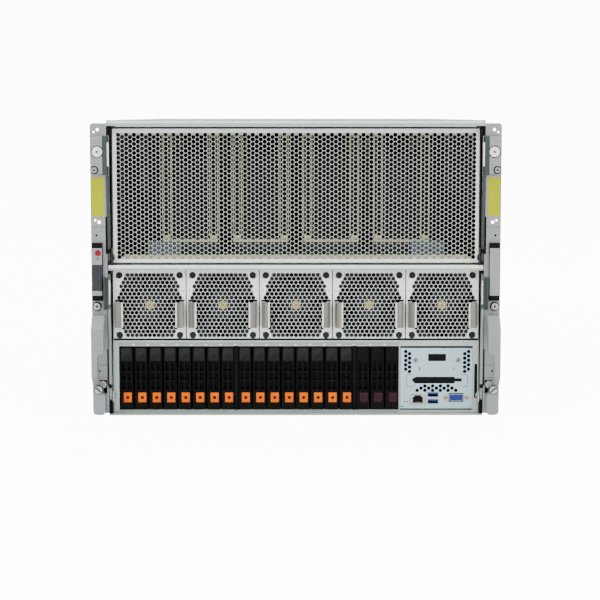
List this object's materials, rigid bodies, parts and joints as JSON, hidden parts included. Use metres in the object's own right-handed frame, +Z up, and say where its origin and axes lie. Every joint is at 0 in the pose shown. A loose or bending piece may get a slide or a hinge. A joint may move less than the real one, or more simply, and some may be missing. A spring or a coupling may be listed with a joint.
{
  "type": "rack server",
  "caption": "Eight-unit rack GPU server with pull-out upper and lower trays, perforated front grille, hot-plug fans, drive carriers and power supplies.",
  "frame": {"origin": "centre of the chassis footprint on its bottom face", "axes": "+X to the right seen from the front, +Y into the depth from front to rear, +Z up"},
  "size_m": [0.4826, 0.894, 0.35],
  "materials": {
    "galvanised_sheet": "zinc-coated sheet steel, satin",
    "ear_metal": "satin",
    "cast_metal": "cast, satin",
    "grille_steel": "perforated sheet, satin",
    "screw_steel": "nickel plated",
    "housing_plastic": "moulded",
    "button_red": "moulded",
    "carrier_plastic": "moulded",
    "fan_plastic": "moulded",
    "circuit_board": "laminate with solder mask",
    "heatsink_aluminium": "mill",
    "socket_metal": "plated"
  },
  "bodies": {
    "chassis": {"chassis_shell": "galvanised_sheet", "top_cover": "galvanised_sheet", "rack_ears": "ear_metal", "ear_handles": "cast_metal", "ear_housings": "housing_plastic", "ear_screws": "screw_steel", "rear_panel": "galvanised_sheet"},
    "power_button": {"power_button": "button_red"},
    "gpu_tray": {"gpu_tray": "galvanised_sheet", "gpu_grille": "grille_steel", "gpu_modules": "heatsink_aluminium"},
    "system_tray": {"system_tray": "galvanised_sheet", "main_board": "circuit_board", "drive_backplane": "circuit_board", "io_panel": "galvanised_sheet", "io_connectors": "socket_metal"},
    "gpu_lever_left": {"gpu_lever_left": "ear_metal"},
    "gpu_lever_right": {"gpu_lever_right": "ear_metal"},
    "system_lever_left": {"system_lever_left": "ear_metal"},
    "system_lever_right": {"system_lever_right": "ear_metal"},
    "fan_module_1": {"fan_module_1": "grille_steel"},
    "fan_rotor_1": {"fan_rotor_1": "fan_plastic"},
    "rear_fan_1": {"rear_fan_1": "grille_steel"},
    "fan_module_2": {"fan_module_2": "grille_steel"},
    "fan_rotor_2": {"fan_rotor_2": "fan_plastic"},
    "rear_fan_2": {"rear_fan_2": "grille_steel"},
    "fan_module_3": {"fan_module_3": "grille_steel"},
    "fan_rotor_3": {"fan_rotor_3": "fan_plastic"},
    "rear_fan_3": {"rear_fan_3": "grille_steel"},
    "fan_module_4": {"fan_module_4": "grille_steel"},
    "fan_rotor_4": {"fan_rotor_4": "fan_plastic"},
    "rear_fan_4": {"rear_fan_4": "grille_steel"},
    "fan_module_5": {"fan_module_5": "grille_steel"},
    "fan_rotor_5": {"fan_rotor_5": "fan_plastic"},
    "rear_fan_5": {"rear_fan_5": "grille_steel"},
    "psu_1": {"psu_1": "galvanised_sheet"},
    "psu_2": {"psu_2": "galvanised_sheet"},
    "psu_3": {"psu_3": "galvanised_sheet"},
    "psu_4": {"psu_4": "galvanised_sheet"},
    "psu_5": {"psu_5": "galvanised_sheet"},
    "psu_6": {"psu_6": "galvanised_sheet"},
    "drive_carrier_00": {"drive_carrier_00": "carrier_plastic"},
    "drive_carrier_01": {"drive_carrier_01": "carrier_plastic"},
    "drive_carrier_02": {"drive_carrier_02": "carrier_plastic"},
    "drive_carrier_03": {"drive_carrier_03": "carrier_plastic"},
    "drive_carrier_04": {"drive_carrier_04": "carrier_plastic"},
    "drive_carrier_05": {"drive_carrier_05": "carrier_plastic"},
    "drive_carrier_06": {"drive_carrier_06": "carrier_plastic"},
    "drive_carrier_07": {"drive_carrier_07": "carrier_plastic"},
    "drive_carrier_08": {"drive_carrier_08": "carrier_plastic"},
    "drive_carrier_09": {"drive_carrier_09": "carrier_plastic"},
    "drive_carrier_10": {"drive_carrier_10": "carrier_plastic"},
    "drive_carrier_11": {"drive_carrier_11": "carrier_plastic"},
    "drive_carrier_12": {"drive_carrier_12": "carrier_plastic"},
    "drive_carrier_13": {"drive_carrier_13": "carrier_plastic"},
    "drive_carrier_14": {"drive_carrier_14": "carrier_plastic"},
    "drive_carrier_15": {"drive_carrier_15": "carrier_plastic"},
    "drive_carrier_16": {"drive_carrier_16": "carrier_plastic"},
    "drive_carrier_17": {"drive_carrier_17": "carrier_plastic"},
    "drive_carrier_18": {"drive_carrier_18": "carrier_plastic"}
  },
  "joints": [
    {"name": "power_button_press", "type": "slide", "parent": "chassis", "child": "power_button", "axis": [0, 1, 0], "range_m": [0, 0.0012], "stiffness_N_per_m": 400},
    {"name": "gpu_tray_slide", "type": "slide", "parent": "chassis", "child": "gpu_tray", "axis": [0, -1, 0], "range_m": [0, 0.45]},
    {"name": "system_tray_slide", "type": "slide", "parent": "chassis", "child": "system_tray", "axis": [0, -1, 0], "range_m": [0, 0.4]},
    {"name": "gpu_lever_left_turn", "type": "hinge", "parent": "gpu_tray", "child": "gpu_lever_left", "pos_m": [-0.2188, -0.4145, 0.1882], "axis": [1, 0, 0], "range_deg": [0, 55]},
    {"name": "system_lever_left_turn", "type": "hinge", "parent": "system_tray", "child": "system_lever_left", "pos_m": [-0.2188, -0.4145, 0.0233], "axis": [1, 0, 0], "range_deg": [0, 55]},
    {"name": "fan_module_1_slide", "type": "slide", "parent": "system_tray", "child": "fan_module_1", "axis": [0, -1, 0], "range_m": [0, 0.11]},
    {"name": "fan_rotor_1_spin", "type": "hinge", "parent": "fan_module_1", "child": "fan_rotor_1", "pos_m": [-0.174, -0.3873, 0.13085], "axis": [0, 1, 0], "continuous": true},
    {"name": "drive_carrier_00_slide", "type": "slide", "parent": "system_tray", "child": "drive_carrier_00", "axis": [0, -1, 0], "range_m": [0, 0.13]},
    {"name": "drive_carrier_18_slide", "type": "slide", "parent": "system_tray", "child": "drive_carrier_18", "axis": [0, -1, 0], "range_m": [0, 0.13]},
    {"name": "rear_fan_1_slide", "type": "slide", "parent": "chassis", "child": "rear_fan_1", "axis": [0, 1, 0], "range_m": [0, 0.09]},
    {"name": "psu_1_slide", "type": "slide", "parent": "chassis", "child": "psu_1", "axis": [0, 1, 0], "range_m": [0, 0.28]},
    {"name": "gpu_lever_right_turn", "type": "hinge", "parent": "gpu_tray", "child": "gpu_lever_right", "pos_m": [0.2188, -0.4145, 0.1882], "axis": [1, 0, 0], "range_deg": [0, 55]},
    {"name": "system_lever_right_turn", "type": "hinge", "parent": "system_tray", "child": "system_lever_right", "pos_m": [0.2188, -0.4145, 0.0233], "axis": [1, 0, 0], "range_deg": [0, 55]},
    {"name": "fan_module_2_slide", "type": "slide", "parent": "system_tray", "child": "fan_module_2", "axis": [0, -1, 0], "range_m": [0, 0.11]},
    {"name": "fan_rotor_2_spin", "type": "hinge", "parent": "fan_module_2", "child": "fan_rotor_2", "pos_m": [-0.087, -0.3873, 0.13085], "axis": [0, 1, 0], "continuous": true},
    {"name": "fan_module_3_slide", "type": "slide", "parent": "system_tray", "child": "fan_module_3", "axis": [0, -1, 0], "range_m": [0, 0.11]},
    {"name": "fan_rotor_3_spin", "type": "hinge", "parent": "fan_module_3", "child": "fan_rotor_3", "pos_m": [0, -0.3873, 0.13085], "axis": [0, 1, 0], "continuous": true},
    {"name": "fan_module_4_slide", "type": "slide", "parent": "system_tray", "child": "fan_module_4", "axis": [0, -1, 0], "range_m": [0, 0.11]},
    {"name": "fan_rotor_4_spin", "type": "hinge", "parent": "fan_module_4", "child": "fan_rotor_4", "pos_m": [0.087, -0.3873, 0.13085], "axis": [0, 1, 0], "continuous": true},
    {"name": "fan_module_5_slide", "type": "slide", "parent": "system_tray", "child": "fan_module_5", "axis": [0, -1, 0], "range_m": [0, 0.11]},
    {"name": "fan_rotor_5_spin", "type": "hinge", "parent": "fan_module_5", "child": "fan_rotor_5", "pos_m": [0.174, -0.3873, 0.13085], "axis": [0, 1, 0], "continuous": true},
    {"name": "rear_fan_2_slide", "type": "slide", "parent": "chassis", "child": "rear_fan_2", "axis": [0, 1, 0], "range_m": [0, 0.09]},
    {"name": "rear_fan_3_slide", "type": "slide", "parent": "chassis", "child": "rear_fan_3", "axis": [0, 1, 0], "range_m": [0, 0.09]},
    {"name": "rear_fan_4_slide", "type": "slide", "parent": "chassis", "child": "rear_fan_4", "axis": [0, 1, 0], "range_m": [0, 0.09]},
    {"name": "rear_fan_5_slide", "type": "slide", "parent": "chassis", "child": "rear_fan_5", "axis": [0, 1, 0], "range_m": [0, 0.09]},
    {"name": "psu_2_slide", "type": "slide", "parent": "chassis", "child": "psu_2", "axis": [0, 1, 0], "range_m": [0, 0.28]},
    {"name": "psu_3_slide", "type": "slide", "parent": "chassis", "child": "psu_3", "axis": [0, 1, 0], "range_m": [0, 0.28]},
    {"name": "psu_4_slide", "type": "slide", "parent": "chassis", "child": "psu_4", "axis": [0, 1, 0], "range_m": [0, 0.28]},
    {"name": "psu_5_slide", "type": "slide", "parent": "chassis", "child": "psu_5", "axis": [0, 1, 0], "range_m": [0, 0.28]},
    {"name": "psu_6_slide", "type": "slide", "parent": "chassis", "child": "psu_6", "axis": [0, 1, 0], "range_m": [0, 0.28]},
    {"name": "drive_carrier_01_slide", "type": "slide", "parent": "system_tray", "child": "drive_carrier_01", "axis": [0, -1, 0], "range_m": [0, 0.13]},
    {"name": "drive_carrier_02_slide", "type": "slide", "parent": "system_tray", "child": "drive_carrier_02", "axis": [0, -1, 0], "range_m": [0, 0.13]},
    {"name": "drive_carrier_03_slide", "type": "slide", "parent": "system_tray", "child": "drive_carrier_03", "axis": [0, -1, 0], "range_m": [0, 0.13]},
    {"name": "drive_carrier_04_slide", "type": "slide", "parent": "system_tray", "child": "drive_carrier_04", "axis": [0, -1, 0], "range_m": [0, 0.13]},
    {"name": "drive_carrier_05_slide", "type": "slide", "parent": "system_tray", "child": "drive_carrier_05", "axis": [0, -1, 0], "range_m": [0, 0.13]},
    {"name": "drive_carrier_06_slide", "type": "slide", "parent": "system_tray", "child": "drive_carrier_06", "axis": [0, -1, 0], "range_m": [0, 0.13]},
    {"name": "drive_carrier_07_slide", "type": "slide", "parent": "system_tray", "child": "drive_carrier_07", "axis": [0, -1, 0], "range_m": [0, 0.13]},
    {"name": "drive_carrier_08_slide", "type": "slide", "parent": "system_tray", "child": "drive_carrier_08", "axis": [0, -1, 0], "range_m": [0, 0.13]},
    {"name": "drive_carrier_09_slide", "type": "slide", "parent": "system_tray", "child": "drive_carrier_09", "axis": [0, -1, 0], "range_m": [0, 0.13]},
    {"name": "drive_carrier_10_slide", "type": "slide", "parent": "system_tray", "child": "drive_carrier_10", "axis": [0, -1, 0], "range_m": [0, 0.13]},
    {"name": "drive_carrier_11_slide", "type": "slide", "parent": "system_tray", "child": "drive_carrier_11", "axis": [0, -1, 0], "range_m": [0, 0.13]},
    {"name": "drive_carrier_12_slide", "type": "slide", "parent": "system_tray", "child": "drive_carrier_12", "axis": [0, -1, 0], "range_m": [0, 0.13]},
    {"name": "drive_carrier_13_slide", "type": "slide", "parent": "system_tray", "child": "drive_carrier_13", "axis": [0, -1, 0], "range_m": [0, 0.13]},
    {"name": "drive_carrier_14_slide", "type": "slide", "parent": "system_tray", "child": "drive_carrier_14", "axis": [0, -1, 0], "range_m": [0, 0.13]},
    {"name": "drive_carrier_15_slide", "type": "slide", "parent": "system_tray", "child": "drive_carrier_15", "axis": [0, -1, 0], "range_m": [0, 0.13]},
    {"name": "drive_carrier_16_slide", "type": "slide", "parent": "system_tray", "child": "drive_carrier_16", "axis": [0, -1, 0], "range_m": [0, 0.13]},
    {"name": "drive_carrier_17_slide", "type": "slide", "parent": "system_tray", "child": "drive_carrier_17", "axis": [0, -1, 0], "range_m": [0, 0.13]}
  ]
}
